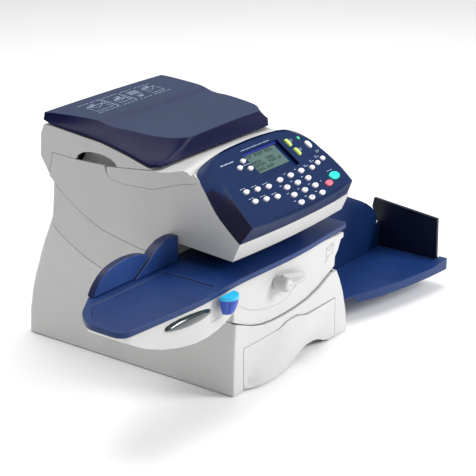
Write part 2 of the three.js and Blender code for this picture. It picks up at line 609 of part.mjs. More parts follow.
// One moulding: the arched fence that the mail lies against, the end wall and the corner between them.
function stackerWalls() {
  const { endX, floor, fenceY } = TRAY;
  const low = floor + GAP;
  const back = fenceY + 7;
  const wall = [[-13, low], [back, low], [back, 76], [96, 96], [93, 110], [-12, 99]];
  const arc = smooth([[459, 82], [452, 97], [430, 114], [398, 130], [360, 146], [318, 156], [280, 157]],
    12);
  const fence = [[258, low], [436, low], ...arc, [249.5, 157], [249.5, 78], [258, 64]];
  return prism('x', wall, endX, endX + 5)
    .add(box(434, endX + 1, fenceY + 3, back, low, 74))
    .add(prism('y', fence, fenceY, fenceY + 4));
}

// ---------------------------------------------------------------- the assembly
add('base_shell', baseShell(), COLOUR.casingLow, 0.55);
add('supply_drawer', supplyDrawer(), COLOUR.casingLow, 0.5);
add('bottom_plate', box(12, 246, 34, 334, BASE.bottom + GAP, BASE.bottom + 3), COLOUR.dark, 0.7);
[['front_left', FOOT.left, FOOT.front], ['front_right', FOOT.right, FOOT.front],
  ['back_left', FOOT.left, FOOT.back], ['back_right', FOOT.right, FOOT.back]]
  .forEach(([name, x, y]) => {
    add(`foot_${name}`, cylinder('z', [x, y], FOOT.radius, 0, BASE.bottom, 16), COLOUR.rubber, 0.9);
  });
add('mid_housing', midHousing(), COLOUR.casing, 0.5);
add('front_cover', frontCover(), COLOUR.casingLow, 0.5);
add('upper_housing', upperHousing(), COLOUR.casing, 0.5);
add('lid_cover', lidCover(), COLOUR.casing, 0.5);
add('scale_housing', scaleHousing(), COLOUR.casing, 0.5);
add('load_cell', box(98, 154, 198, 234, 270, 286.5), COLOUR.metal, 0.35, 0.8);
add('scale_platform', scalePlatform(), COLOUR.navy, 0.4);
add('panel_bezel', panelBezel(), COLOUR.panel, 0.35);
add('panel_board', panelPrism(shrinkFace(8), BOARD.top - BOARD.thick, BOARD.top), COLOUR.board, 0.6);
add('display_module', displayModule(), COLOUR.dark, 0.4);
add('display_window', panelPrism([[103.5, 63.5], [168.5, 63.5], [168.5, 93.5], [103.5, 93.5]], -6, -4),
  COLOUR.glass, 0.1);
add('status_light', panelPrism(ellipse(212, 87, 2.4, 2.4), KEY.foot, 0.8), COLOUR.led, 0.3);
add('feed_deck', feedDeck(), COLOUR.deck, 0.4);
add('deck_fascia', deckFascia(), COLOUR.casing, 0.5);
add('water_window', prism('y', lensOutline(0), -6.5, 1.5), COLOUR.glass, 0.1);
add('deck_guide', deckGuide(), COLOUR.guide, 0.4);
add('sealer_knob', sealerKnob(), COLOUR.knob, 0.35);
add('jam_lever', jamLever(), COLOUR.casingLow, 0.5);
add('pressure_platen', box(44, 76, 34, 74, 150, DECK.top - 0.6).add(box(56, 64, 50, 58, 128, 151)),
  COLOUR.dark, 0.6);
add('feed_roller', roller(ROLLER.feedX), COLOUR.rubber, 0.8);
add('exit_roller', roller(ROLLER.exitX), COLOUR.rubber, 0.8);
add('print_cartridge', box(108, 132, 48, 72, 178, 186).add(box(100, 150, 42, 90, 185.5, 228)), COLOUR.dark,
  0.5);
add('stacker_tray', stackerTray(), COLOUR.deck, 0.4);
add('stacker_walls', stackerWalls(), COLOUR.stacker, 0.4);
keys.forEach(([name, x, s, a, b, colour]) => add(name, keyCap(x, s, a, b), colour, 0.4));

root.position.set(-CENTRE.x, -CENTRE.y, 0);
const group = new THREE.Group();
group.add(root);

export default group;
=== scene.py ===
"""Looks of the desktop franking machine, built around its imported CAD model."""
import json
import math

import bmesh
import bpy
from mathutils import Matrix, Vector


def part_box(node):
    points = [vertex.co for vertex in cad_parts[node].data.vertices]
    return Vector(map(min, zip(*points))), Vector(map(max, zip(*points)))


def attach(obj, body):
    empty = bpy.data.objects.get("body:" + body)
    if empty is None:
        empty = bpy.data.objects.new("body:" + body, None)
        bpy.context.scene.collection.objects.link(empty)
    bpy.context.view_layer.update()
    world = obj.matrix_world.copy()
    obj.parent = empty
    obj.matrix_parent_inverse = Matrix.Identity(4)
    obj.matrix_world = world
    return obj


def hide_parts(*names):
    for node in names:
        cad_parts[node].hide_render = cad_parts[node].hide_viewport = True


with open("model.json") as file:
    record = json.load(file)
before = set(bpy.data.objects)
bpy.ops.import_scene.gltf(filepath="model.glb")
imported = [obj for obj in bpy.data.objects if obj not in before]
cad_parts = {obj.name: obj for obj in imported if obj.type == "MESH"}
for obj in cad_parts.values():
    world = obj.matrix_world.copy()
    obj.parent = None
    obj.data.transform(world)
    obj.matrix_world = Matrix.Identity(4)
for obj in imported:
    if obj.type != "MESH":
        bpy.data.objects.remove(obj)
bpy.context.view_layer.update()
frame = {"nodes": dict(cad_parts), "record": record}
NODES = frame["nodes"]
RECORD = frame["record"]
BODY_OF = {node: body for body, nodes in RECORD["behaviour"]["bodies"].items() for node in nodes}
SLOT_OF = {part["node"]: part["material_slot"] for part in RECORD["subparts"]}
MM = 0.001

# ------------------------------------------------------------------ camera, floor and light
AZIMUTH = math.radians(-53.6)
ELEVATION = math.radians(20.3)
DISTANCE = 1.96915
LENS = 117.53

# The layout's origin is the front left corner of the base, on the ground.
SIDE_INSET = 3 * MM
CORNER = Vector((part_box("base_shell")[0][0] - SIDE_INSET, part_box("base_shell")[0][1], 0))


def at(x, y, z):
    """A point of the layout, given in millimetres, in the frame."""
    return CORNER + Vector((x, y, z)) * MM


AIM = at(126, 83.9, 151.75)


def camera():
    data = bpy.data.cameras.new("camera")
    data.lens = LENS
    data.sensor_width = 36
    data.clip_end = 20
    thing = bpy.data.objects.new("camera", data)
    flat = math.cos(ELEVATION)
    back = Vector((math.sin(AZIMUTH) * flat, -math.cos(AZIMUTH) * flat, math.sin(ELEVATION)))
    thing.location = AIM + back * DISTANCE
    thing.rotation_euler = (-back).to_track_quat("-Z", "Y").to_euler()
    bpy.context.scene.collection.objects.link(thing)
    bpy.context.scene.camera = thing


def area_light(name, place, aim, size, power):
    data = bpy.data.lights.new(name, "AREA")
    data.shape = "RECTANGLE"
    data.size, data.size_y = size
    data.energy = power
    thing = bpy.data.objects.new(name, data)
    thing.location = place
    thing.rotation_euler = (Vector(aim) - Vector(place)).to_track_quat("-Z", "Y").to_euler()
    bpy.context.scene.collection.objects.link(thing)


def studio():
    half = 6.0
    mesh = bpy.data.meshes.new("floor")
    corners = [(-half, -half, 0), (half, -half, 0), (half, half, 0), (-half, half, 0)]
    mesh.from_pydata(corners, [], [(0, 1, 2, 3)])
    floor = bpy.data.objects.new("floor", mesh)
    bpy.context.scene.collection.objects.link(floor)
    material = bpy.data.materials.new("floor")
    material.use_nodes = True
    shader = material.node_tree.nodes["Principled BSDF"]
    shader.inputs["Base Color"].default_value = (0.95, 0.95, 0.95, 1)
    shader.inputs["Roughness"].default_value = 0.9
    mesh.materials.append(material)
    world = bpy.data.worlds.new("world")
    world.use_nodes = True
    world.node_tree.nodes["Background"].inputs["Color"].default_value = (1, 1, 1, 1)
    world.node_tree.nodes["Background"].inputs["Strength"].default_value = 0.5
    bpy.context.scene.world = world
    area_light("key", (1.1, -2.0, 1.3), (0, 0, 0.15), (1.0, 1.0), 46)
    area_light("top", (0.2, 0.4, 2.2), (0, 0.1, 0.1), (1.8, 1.8), 40)
    bpy.context.scene.view_settings.view_transform = "Standard"
    bpy.context.scene.view_settings.look = "None"


# ------------------------------------------------------------------ materials
DRIFT_SCALE = 22
GLOSS_SPREAD = 0.15
COAT_ROUGHNESS = 0.12


def linear(code):
    """A six-digit colour code as linear values."""
    parts = [int(code[i:i + 2], 16) / 255 for i in (0, 2, 4)]
    return [c / 12.92 if c <= 0.04045 else ((c + 0.055) / 1.055) ** 2.4 for c in parts]


def moulded(name, code, roughness=0.45, tone=0.06, grain=2600, depth=0.02, coat=0.0, metal=0.0, **uniform):
    """Moulded plastic, rubber or metal: a slow drift of tone, a fine grain and uneven gloss."""
    material = bpy.data.materials.new(name)
    material.use_nodes = True
    nodes, links = material.node_tree.nodes, material.node_tree.links
    shader = nodes["Principled BSDF"]
    place = nodes.new("ShaderNodeTexCoord")
    drift = nodes.new("ShaderNodeTexNoise")
    drift.inputs["Scale"].default_value = DRIFT_SCALE
    drift.inputs["Detail"].default_value = 4
    fine = nodes.new("ShaderNodeTexNoise")
    fine.inputs["Scale"].default_value = grain
    fine.inputs["Detail"].default_value = 2
    for texture in (drift, fine):
        links.new(place.outputs["Object"], texture.inputs["Vector"])
    colour = linear(code)
    ramp = nodes.new("ShaderNodeValToRGB")
    ramp.color_ramp.elements[0].position = 0.3
    ramp.color_ramp.elements[1].position = 0.7
    ramp.color_ramp.elements[0].color = [*(c * (1 - tone) for c in colour), 1]
    ramp.color_ramp.elements[1].color = [*(min(1, c * (1 + tone)) for c in colour), 1]
    links.new(drift.outputs["Fac"], ramp.inputs["Fac"])
    speck = nodes.new("ShaderNodeMix")
    speck.data_type = "RGBA"
    speck.blend_type = "MULTIPLY"
    speck.inputs["Factor"].default_value = tone
    links.new(ramp.outputs["Color"], speck.inputs["A"])
    links.new(fine.outputs["Color"], speck.inputs["B"])
    links.new(speck.outputs["Result"], shader.inputs["Base Color"])
    gloss = nodes.new("ShaderNodeMapRange")
    gloss.inputs["To Min"].default_value = roughness * (1 - GLOSS_SPREAD)
    gloss.inputs["To Max"].default_value = roughness * (1 + GLOSS_SPREAD)
    links.new(drift.outputs["Fac"], gloss.inputs["Value"])
    links.new(gloss.outputs["Result"], shader.inputs["Roughness"])
    bump = nodes.new("ShaderNodeBump")
    bump.inputs["Strength"].default_value = 0.5
    bump.inputs["Distance"].default_value = depth * MM
    links.new(fine.outputs["Fac"], bump.inputs["Height"])
    links.new(bump.outputs["Normal"], shader.inputs["Normal"])
    shader.inputs["Metallic"].default_value = metal
    shader.inputs["Coat Weight"].default_value = coat
    shader.inputs["Coat Roughness"].default_value = COAT_ROUGHNESS
    for key, value in uniform.items():
        shader.inputs[key.replace("_", " ")].default_value = value
    return material


MATERIALS = {
    "casing": moulded("casing", "c3c3c2", 0.42, 0.025, depth=0.03),
    "casing_low": moulded("casing_low", "c8c8c7", 0.38, 0.025, depth=0.03),
    "dark_steel": moulded("dark_steel", "232427", 0.45, 0.1, metal=0.6),
    "rubber": moulded("rubber", "1d1d1e", 0.85, 0.12, 1500, 0.06),
    "load_cell": moulded("load_cell", "a6a9ad", 0.3, 0.06, 4000, metal=1.0),
    "platform_navy": moulded("platform_navy", "060a36", 0.42, 0.1, depth=0.03, Specular_IOR_Level=0.12),
    "panel_blue": moulded("panel_blue", "06224c", 0.42, 0.1, 3200, Specular_IOR_Level=0.2),
    "board": moulded("board", "1d5a38", 0.5, 0.12),
    "dark_plastic": moulded("dark_plastic", "1b1c20", 0.5, 0.1),
    "display": moulded("display", "45635f", 0.16, 0.06, coat=0.8),
    "light_green": moulded("light_green", "2fd888", 0.25, 0.05, coat=0.6),
    "deck_blue": moulded("deck_blue", "123066", 0.38, 0.1, Specular_IOR_Level=0.3),
    "window_teal": moulded("window_teal", "0f2c33", 0.08, 0.25, coat=1.0),
    "guide_blue": moulded("guide_blue", "101e48", 0.38, 0.1, Specular_IOR_Level=0.3),
    "knob_cyan": moulded("knob_cyan", "0444b4", 0.3, 0.08, coat=0.2),
    "stacker_navy": moulded("stacker_navy", "0a2450", 0.34, 0.1, Specular_IOR_Level=0.3),
    "key_white": moulded("key_white", "e4e1e8", 0.45, 0.03),
    "key_teal": moulded("key_teal", "0cd6c2", 0.4, 0.05, coat=0.2),
    "key_coral": moulded("key_coral", "fb6a80", 0.4, 0.05, coat=0.2),
    "key_lime": moulded("key_lime", "c6de70", 0.42, 0.05, coat=0.1),
}
INK = moulded("ink_white", "a9b6cc", 0.5, 0.08)
INK_DARK = moulded("ink_grey", "7d8086", 0.55, 0.06)
LCD_INK = moulded("lcd_ink", "16302e", 0.4, 0.1)
LCD_STRIP = moulded("lcd_strip", "2c38a0", 0.35, 0.08)
SEAM_SHADOW = moulded("seam_shadow", "55565a", 0.8, 0.1)
# Painted light: a lighter copy of the guide's blue for its front-facing faces, which face the key light.
GUIDE_FACE_PAINTED_LIGHT = moulded("guide_face_painted_light", "224484", 0.35, 0.14, Specular_IOR_Level=0.35)
# Painted shade: a near-black copy of the stacker's navy for its right end wall, which stands in shade.
WALL_PAINTED_SHADE = moulded("wall_painted_shade", "0b0f26", 0.35, 0.15, Specular_IOR_Level=0.3)
PLATFORM_TOP_FINISH = moulded("platform_top", "20304e", 0.6, 0.07, depth=0.05, Specular_IOR_Level=0.3)
# Painted shade: a darker navy for the band of the groove across the platform's top, where shade falls in the
# hollow.
GROOVE_PAINTED_SHADE = moulded("platform_groove_painted_shade", "0a1c44", 0.3, 0.08, depth=0.02)
# Painted shade: a darker copy of the panel's navy for the moulding's left-facing sides, which are turned away
# from the key light.
PANEL_SIDE_PAINTED_SHADE = moulded("panel_side_painted_shade", "0a0c2e", 0.36, 0.1, Specular_IOR_Level=0.25)
CYAN_TOP = moulded("knob_cap", "18bdf0", 0.32, 0.05, coat=0.4)


# ------------------------------------------------------------------ mesh helpers
def piece(name, mesh, node, material=None, stands_for=(), slot=None):
    """A finished piece that rides with a CAD node's body."""
    thing = bpy.data.objects.new(name, mesh)
    bpy.context.scene.collection.objects.link(thing)
    mesh.materials.clear()
    mesh.materials.append(material or MATERIALS[slot or SLOT_OF[node]])
    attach(thing, BODY_OF[node])
    if stands_for:
        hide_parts(*stands_for)
    return thing


def smooth_by_angle(mesh, degrees):
    """Smooth shading with sharp edges where faces meet at more than an angle."""
    work = bmesh.new()
    work.from_mesh(mesh)
    for edge in work.edges:
        edge.smooth = len(edge.link_faces) == 2 and edge.calc_face_angle(0) < math.radians(degrees)
    for face in work.faces:
        face.smooth = True
    work.to_mesh(mesh)
    work.free()


def refined(node, width=0.7, angle=28):
    """A copy of a CAD node with its flat facets joined, its edges rounded and its curves shaded smooth."""
    work = bmesh.new()
    work.from_mesh(NODES[node].data)
    bmesh.ops.remove_doubles(work, verts=work.verts, dist=0.02 * MM)
    bmesh.ops.dissolve_limit(work, angle_limit=math.radians(1), verts=work.verts, edges=work.edges)
    bmesh.ops.recalc_face_normals(work, faces=work.faces)
    mesh = bpy.data.meshes.new(node + "_fine")
    work.to_mesh(mesh)
    work.free()
    smooth_by_angle(mesh, angle)
    thing = piece(node + "_fine", mesh, node, stands_for=[node])
    rounding = thing.modifiers.new("rounding", "BEVEL")
    rounding.width = width * MM
    rounding.segments = 3
    rounding.limit_method = "ANGLE"
    rounding.angle_limit = math.radians(angle)
    normals = thing.modifiers.new("normals", "WEIGHTED_NORMAL")
    normals.keep_sharp = True
    return thing


def spline(points, u):
    """The value at u of a smooth line through corner points (u, value)."""
    u = min(max(u, points[0][0]), points[-1][0])
    i = next(k for k in range(1, len(points)) if points[k][0] >= u)
    (u0, v0), (u1, v1) = points[i - 1], points[i]
    ua, va = points[i - 2] if i > 1 else points[0]
    ub, vb = points[i + 1] if i + 1 < len(points) else points[-1]
    span = u1 - u0
    m0 = (v1 - va) / (u1 - ua) * span
    m1 = (vb - v0) / (ub - u0) * span
    t = (u - u0) / span
    return (v0 * (2 * t ** 3 - 3 * t * t + 1) + m0 * (t ** 3 - 2 * t * t + t)
            + v1 * (3 * t * t - 2 * t ** 3) + m1 * (t ** 3 - t * t))


def steps(low, high, count):
    """Evenly spaced values from low to high, both ends included."""
    return [low + (high - low) * i / count for i in range(count + 1)]


def skin(name, rings):
    """A closed mesh through rings of equally many points, capped at both ends."""
    count = len(rings[0])
    mesh = bpy.data.meshes.new(name)
    faces = []
    for r in range(len(rings) - 1):
        for i in range(count):
            j = (i + 1) % count
            faces.append((r * count + i, r * count + j, (r + 1) * count + j, (r + 1) * count + i))
    faces.append(tuple(reversed(range(count))))
    faces.append(tuple((len(rings) - 1) * count + i for i in range(count)))
    mesh.from_pydata([tuple(p) for ring in rings for p in ring], [], faces)
    work = bmesh.new()
    work.from_mesh(mesh)
    bmesh.ops.recalc_face_normals(work, faces=work.faces)
    work.to_mesh(mesh)
    work.free()
    return mesh


def blocks(name, corners):
    """One mesh of many thin six-sided marks, each given by its four lower and four upper corners."""
    points, faces = [], []
    for lower, upper in corners:
        first = len(points)
        points += [tuple(p) for p in (*lower, *upper)]
        faces += [[first + i for i in face] for face in
                  ((3, 2, 1, 0), (4, 5, 6, 7), (0, 1, 5, 4), (1, 2, 6, 5), (2, 3, 7, 6), (3, 0, 4, 7))]
    mesh = bpy.data.meshes.new(name)
    mesh.from_pydata(points, [], faces)
    return mesh


# ------------------------------------------------------------------ control panel
TILT = math.radians(34.7)
UP_SLOPE = Vector((0, math.cos(TILT), math.sin(TILT)))
OUTWARD = Vector((0, -math.sin(TILT), math.cos(TILT)))
PANEL_FOOT = at(0, -19, 219)


def on_panel(x, s, n):
    """A point x across, s up the slope and n off the panel's face, in millimetres."""
    return PANEL_FOOT + Vector((x, 0, 0)) * MM + (UP_SLOPE * s + OUTWARD * n) * MM


def panel_mark(x, s, width, height, low=0.02, high=0.1):
    """A printed bar on the panel, from its lower left corner."""
    corners = [(x, s), (x + width, s), (x + width, s + height), (x, s + height)]
    return [on_panel(u, v, low) for u, v in corners], [on_panel(u, v, high) for u, v in corners]


WORD_GAP = 1.2


def text_marks(x, s, width, height=0.75, words=(0.45, 0.35)):
    """A row of short bars in place of a line of print."""
    marks, left = [], x
    for share in words:
        marks.append(panel_mark(left, s, width * share, height))
        left += width * share + WORD_GAP
    return marks


FUNCTION_KEYS = [("upper", 54, 46, 20, -2.5), ("lower", 54, 30, 19.5, -3)]
COLUMNS = ("left", "middle", "right")
SELECT_KEYS = [(92, 86), (78, 79), (93, 73)]
PAD_X = (120, 143, 166)
PAD_S = (43, 30, 17, 4)
EDIT_KEYS = [(188, 41), (204, 44), (219, 47)]


def key_table():
    """Each key: node, place on the panel, half width, half height."""
    keys = []
    for row, x, s, dx, ds in FUNCTION_KEYS:
        keys += [(f"key_function_{row}_{column}", x + dx * i, s + ds * i, 5, 3.2)
                 for i, column in enumerate(COLUMNS)]
    keys += [(f"key_select_{i + 1}", x, s, 4.4, 3.2) for i, (x, s) in enumerate(SELECT_KEYS)]
    keys += [(f"key_pad_{r + 1}_{c + 1}", x, s, 5.4, 3.4)
             for r, s in enumerate(PAD_S) for c, x in enumerate(PAD_X)]
    keys += [(f"key_edit_{i + 1}", x, s, 4.4, 3.2) for i, (x, s) in enumerate(EDIT_KEYS)]
    keys += [("key_quick_1", 188, 86, 3, 6), ("key_quick_2", 189.5, 69.5, 3, 6)]
    keys += [("key_menu", 218, 73, 4, 6), ("key_start", 211, 18.5, 10, 6), ("key_stop", 191, 12, 7, 4.2)]
    return keys


def key_ring(x, s, a, b, scale, n, pill, sides=32):
    """One outline of a key or a hole, oval or with squarer ends, n off the panel's face."""
    ring = []
    for i in range(sides):
        turn = 2 * math.pi * i / sides
        u, v = math.cos(turn), math.sin(turn)
        if pill:
            u, v = (math.copysign(abs(w) ** 0.45, w) for w in (u, v))
        ring.append(on_panel(x + a * scale * u, s + b * scale * v, n))
    return ring


# Share of the key's size, and height off the panel's face.
KEY_PROFILE = [(1, -7.2), (1, 0.6), (0.99, 1.1), (0.95, 1.6), (0.88, 2.05), (0.78, 2.35), (0.66, 2.45),
               (0.4, 2.38), (0.15, 2.32)]


def key_caps():
    """Domed silicone keys with a soft shoulder and a slight dish in the top."""
    for node, x, s, a, b in key_table():
        pill = "quick" in node
        mesh = skin(node + "_cap", [key_ring(x, s, a, b, scale, n, pill) for scale, n in KEY_PROFILE])
        smooth_by_angle(mesh, 50)
        piece(node + "_cap", mesh, node, stands_for=[node])


def panel_matrix(place):
    """The placing of something flat on the panel's face."""
    matrix = Matrix((Vector((1, 0, 0)), UP_SLOPE, OUTWARD)).transposed().to_4x4()
    matrix.translation = place
    return matrix


def key_numerals():
    """Numerals on the number pad, which ride with their keys."""
    legends = ["1", "2", "3", "4", "5", "6", "7", "8", "9", "0", "00", "+"]
    pad = [key for key in key_table() if "key_pad" in key[0]]
    for (node, x, s, _, _), legend in zip(pad, legends):
        data = bpy.data.curves.new(node + "_numeral", "FONT")
        data.body = legend
        data.size = 5 * MM
        data.extrude = 0.03 * MM
        data.resolution_u = 2
        data.align_x = "CENTER"
        data.align_y = "CENTER"
        data.materials.append(INK_DARK)
        thing = bpy.data.objects.new(node + "_numeral", data)
        thing.matrix_world = panel_matrix(on_panel(x, s, 2.5))
        bpy.context.scene.collection.objects.link(thing)
        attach(thing, BODY_OF[node])


def panel_prints():
    """Pale print beside the keys, as rows of plain bars, and the leader lines of the display keys."""
    marks = []
    for node, x, s, a, b in key_table():
        if "function" in node:
            marks += text_marks(x - 6, s + b + 2.2, 11)
        if "edit" in node:
            marks += text_marks(x - 10, s + b + 1.6, 8)
            marks += text_marks(x - 10, s + b + 3.6, 6, words=(0.6,))
        if "pad" in node and not node.endswith("_1_1"):
            marks += text_marks(x - 9.5, s + b + 1.4, 5, words=(0.9,))
        if "quick" in node:
            marks += text_marks(x + 5.5, s + 2.5, 7)
            marks += text_marks(x + 5.5, s + 0.2, 7, words=(0.7,))
    for x, s in SELECT_KEYS:
        marks.append(panel_mark(x + 6.5, s + 0.6, 101 - x - 6.5, 0.7))
    marks += text_marks(52, 90, 30, 1.3, words=(0.2, 0.3, 0.28))
    marks += text_marks(103, 99.6, 68, 0.7, words=(0.16, 0.1, 0.2, 0.12, 0.22))
    marks += text_marks(219, 60, 8) + text_marks(219, 57.8, 6, words=(0.8,))
    marks += text_marks(206, 27.5, 12) + text_marks(180, 19, 4, words=(0.8,))
    piece("panel_print", blocks("panel_print", marks), "panel_bezel", INK)


def raised_dots():
    """The row of small raised ribs along the lower lip of the panel."""
    marks = []
    count = 60
    for i in range(count):
        x = 60 + 150 * i / (count - 1)
        s = 0.5 - 5.5 * (1 - ((x - 130) / 100) ** 2)
        marks.append(panel_mark(x, s + 1.5, 1.0, 1.6, high=0.35))
    piece("panel_ribs", blocks("panel_ribs", marks), "panel_bezel", MATERIALS["guide_blue"], slot="panel_blue")


WINDOW = (103.5, 168.5, 63.5, 93.5)
STROKE = 0.75


def display():
    """Liquid crystal window: block characters in rows, a blue strip above and a frame of the panel's colour."""
    x0, x1, s0, s1 = WINDOW
    cells = []
    rows = [(s1 - 6, 14, 4.6), (s1 - 16, 12, 4.2), (s0 + 9, 15, 4.0), (s0 + 3, 9, 3.4)]
    skipped = ((3, 9), (5, 6, 7), (6, 7, 12), (4,))
    pitch = (x1 - x0 - 8) / 15
    for (s, count, height), gaps in zip(rows, skipped):
        for i in range(count):
            if i in gaps:
                continue
            x = x0 + 4 + pitch * i
            for dx, ds, w, h in ((0, 0, STROKE, height), (2.0, 0 if i % 2 else height / 2, STROKE, height / 2),
                                 (0, height - STROKE, 2.6, STROKE), (0, (i % 3) * height / 3, 2.6, STROKE)):
                cells.append(panel_mark(x + dx, s + ds, w, h, -3.98, -3.86))
    piece("display_segments", blocks("display_segments", cells), "display_window", LCD_INK)
    strip = [panel_mark(x0 - 2, s1 + 0.8, x1 - x0 + 9, 2.4, -4.35, -3.2)]
    piece("display_strip", blocks("display_strip", strip), "display_module", LCD_STRIP)
    NODES["display_module"].data.materials[0] = MATERIALS["panel_blue"]


LAMP = (212, 87)


def status_light():
    """Small domed lens of the status light."""
    profile = [(1, -7.2), (1, 0.5), (0.9, 1.0), (0.7, 1.35), (0.4, 1.6), (0.1, 1.7)]
    mesh = skin("status_lens", [key_ring(*LAMP, 2.4, 2.4, scale, n, False, 24) for scale, n in profile])
    smooth_by_angle(mesh, 60)
    piece("status_lens", mesh, "status_light", stands_for=["status_light"])


# ------------------------------------------------------------------ weighing platform
PLATFORM_LOW = [(113, 268.6), (131, 268), (164, 277), (205, 286), (246, 290), (286, 294), (300, 298)]
PLATFORM_TOP = [(119, 289.8), (135, 291.2), (150, 293), (170, 295.4), (190, 297), (202, 297.1), (214, 298.6),
                (228, 302.6), (240, 304.2), (285, 307), (300, 307)]
LEFT_EDGE = [(119, 92), (121, 80), (125, 69), (136, 56), (157, 44), (184, 38), (218, 34), (238, 30),
             (300, 10.5)]
RIGHT_EDGE = [(119, 216), (124, 226), (132, 235), (142, 240), (170, 241.5), (300, 242)]
PLATFORM_ENDS = (8, 244)
# In a section's ring, the faces from PLATFORM_EDGE on, TOP_FACES of them, are the top.
PLATFORM_EDGE = 10
TOP_FACES = 16
# Band across y, in millimetres, that gets the groove's painted shade.
GROOVE_SHADE_BAND = (215, 231)
# Station along y, and share of the height reached there, on the rounded front.
PLATFORM_FRONT = [(116.5, 0.02), (117.2, 0.1), (118, 0.25), (118.7, 0.45), (119.3, 0.66), (119.8, 0.86),
                  (120.2, 0.97), (120.6, 1)]


def platform_height(x, y):
    """Height of the platform's top at (x, y), slightly crowned."""
    left, right = spline(LEFT_EDGE, y), spline(RIGHT_EDGE, y)
    across = (x - left) / (right - left)
    return spline(PLATFORM_TOP, y) + 1.0 * (1 - (2 * across - 1) ** 2) + 0.5 * across


def platform_ring(y, share=1.0):
    """Section at y. The share is how much of the height has been reached on the front face."""
    low = spline(PLATFORM_LOW, y)
    outer_left, outer_right = PLATFORM_ENDS
    bend = max(0, 1 - (y - 117) / 10)
    outer_left += 8 * bend ** 2
    outer_right -= 6 * bend ** 2
    top_y = max(y, 120)
    left, right = spline(LEFT_EDGE, top_y), spline(RIGHT_EDGE, top_y)
    left = outer_left + (left - outer_left) * (0.4 + 0.6 * share)
    side = [(t, 0.16 + 0.84 * t ** 1.5) for t in steps(0, 1, 9)[1:]]

    def lift(x):
        return low + (platform_height(x, top_y) - low) * share
    ring = [(outer_left, low), (outer_left + 0.2, low + (lift(left) - low) * 0.16)]
    ring += [(outer_left + (left - outer_left) * t, low + (lift(left) - low) * f) for t, f in side]
    ring += [(x, lift(x)) for x in steps(left, right, TOP_FACES)[1:]]
    ring += [(outer_right - 0.3, low + (lift(right) - low) * 0.4), (outer_right, low)]
    return [at(x, y, z) for x, z in ring]


def platform():
    """Weighing platform: dished sides, a flat top, a groove across it and a raised back part."""
    rings = [platform_ring(y, share) for y, share in PLATFORM_FRONT]
    rings += [platform_ring(y) for y in steps(122, 300, 62)]
    mesh = skin("platform_shell", rings)
    smooth_by_angle(mesh, 24)
    piece("platform_shell", mesh, "scale_platform", stands_for=["scale_platform"])
    mesh.materials.append(PLATFORM_TOP_FINISH)
    mesh.materials.append(GROOVE_PAINTED_SHADE)
    around = len(rings[0])
    for polygon in mesh.polygons:
        station, place = divmod(polygon.index, around)
        past_front = len(PLATFORM_FRONT) - 1 <= station < len(rings) - 1
        if past_front and PLATFORM_EDGE <= place < PLATFORM_EDGE + TOP_FACES:
            # Top faces in the groove's band get the painted shade, the others the top's own finish.
            in_groove_shade = GROOVE_SHADE_BAND[0] * MM < polygon.center.y - CORNER.y < GROOVE_SHADE_BAND[1] * MM
            polygon.material_index = 2 if in_groove_shade else 1


def platform_line(points, width=0.55):
    """Marks along a line of (x, y) points printed on the platform's top."""
    marks = []
    for (xa, ya), (xb, yb) in zip(points, points[1:]):
        length = math.hypot(xb - xa, yb - ya)
        side = Vector((ya - yb, xb - xa)) / length * width / 2
        corners = [(xa - side.x, ya - side.y), (xb - side.x, yb - side.y),
                   (xb + side.x, yb + side.y), (xa + side.x, ya + side.y)]
        marks.append(([at(x, y, platform_height(x, y) + 0.02) for x, y in corners],
                      [at(x, y, platform_height(x, y) + 0.16) for x, y in corners]))
    return marks


def rectangle(x, y, width, height):
    """The closed outline of a rectangle, as a line of points."""
    return [(x, y), (x + width, y), (x + width, y + height), (x, y + height), (x, y)]


def platform_print():
    """Generic line drawings of letters and parcels for the size guide on the raised back part."""
    marks = []
    for x, width in ((52, 44), (100, 30), (134, 24), (162, 34)):
        for end in steps(x, x + width, 4)[:-1]:
            marks += platform_line([(end, 246), (end + width / 4 - 2, 246)])
            marks += platform_line([(end, 282), (end + width / 4 - 2, 282)])
    for x, y, w, h in ((56, 252, 30, 18), (104, 254, 20, 12), (166, 252, 24, 20)):
        marks += platform_line(rectangle(x, y, w, h))
        marks += platform_line([(x, y + h), (x + w / 2, y + h / 2), (x + w, y + h)])
    for x, y in ((62, 274), (110, 272), (140, 258), (172, 276)):
        marks += platform_line([(x, y), (x + 12, y), (x + 8, y + 3)])
        marks += platform_line([(x, y - 4), (x + 9, y - 4)], 1.6)
    for i in range(6):
        x = 138 + 3.2 * i
        marks += platform_line([(x, 264), (x + 1.8, 276)], 0.9)
    for y in steps(250, 278, 7):
        marks += platform_line([(90, y), (96, y + 1)], 0.8)
        marks += platform_line([(126, y), (131, y + 1)], 0.8)
    piece("platform_print", blocks("platform_print", marks), "scale_platform", INK)


# ------------------------------------------------------------------ sealer knob and water window
KNOB = Vector((-28, -13.5))


def knob():
    """Half-round fluted grip with a bright flat top."""
    sides = 64

    def ring(radius, depth, z, flute):
        points = []
        for i in range(sides + 1):
            turn = math.pi + math.pi * i / sides
            cut = 1 - flute * max(0, math.sin(6 * (turn - math.pi)) * -1) ** 2
            points.append(at(KNOB.x + radius * cut * math.cos(turn), KNOB.y + depth * cut * math.sin(turn), z))
        return points

    levels = [(127, 8, 8, 0), (129, 9, 9.2, 0.06), (133, 10.8, 11, 0.12), (139, 12.6, 13, 0.13),
              (144.5, 13.7, 14.4, 0.1), (146, 14, 14.8, 0), (149, 14, 14.8, 0), (150, 13.6, 14.4, 0),
              (150, 12.8, 13.6, 0)]
    mesh = skin("knob_grip", [ring(radius, depth, z, flute) for z, radius, depth, flute in levels])
    smooth_by_angle(mesh, 40)
    piece("knob_grip", mesh, "sealer_knob", MATERIALS["knob_cyan"], stands_for=["sealer_knob"])
    mesh.materials.append(CYAN_TOP)
    for polygon in mesh.polygons:
        if polygon.center.z > at(0, 0, 147).z:
            polygon.material_index = 1


WATER = {"x": -91, "z": 137, "a": 41, "b": 6.8, "face": -6.5}


